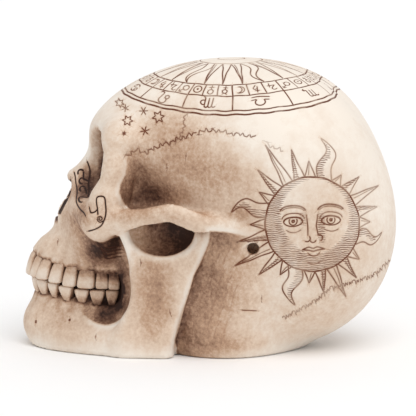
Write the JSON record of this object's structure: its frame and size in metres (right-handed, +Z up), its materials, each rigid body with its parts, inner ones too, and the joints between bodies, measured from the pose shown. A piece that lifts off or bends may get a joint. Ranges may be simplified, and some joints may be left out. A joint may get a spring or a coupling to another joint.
{
  "type": "skull figurine",
  "caption": "Human skull figurine with closed jaw and cheek arches, decorated with a sun, a zodiac wheel on the crown, stars and sutures.",
  "frame": {"origin": "centre of the bounding box's footprint on the surface that the skull rests on", "axes": "+Z up, the face toward -Y, the skull's own left side toward +X"},
  "size_m": [0.122, 0.1906, 0.147],
  "materials": {
    "bone_resin": "satin cast resin, cream with brown patina in the hollows"
  },
  "bodies": {
    "root": {"skull": "bone_resin"}
  },
  "joints": []
}
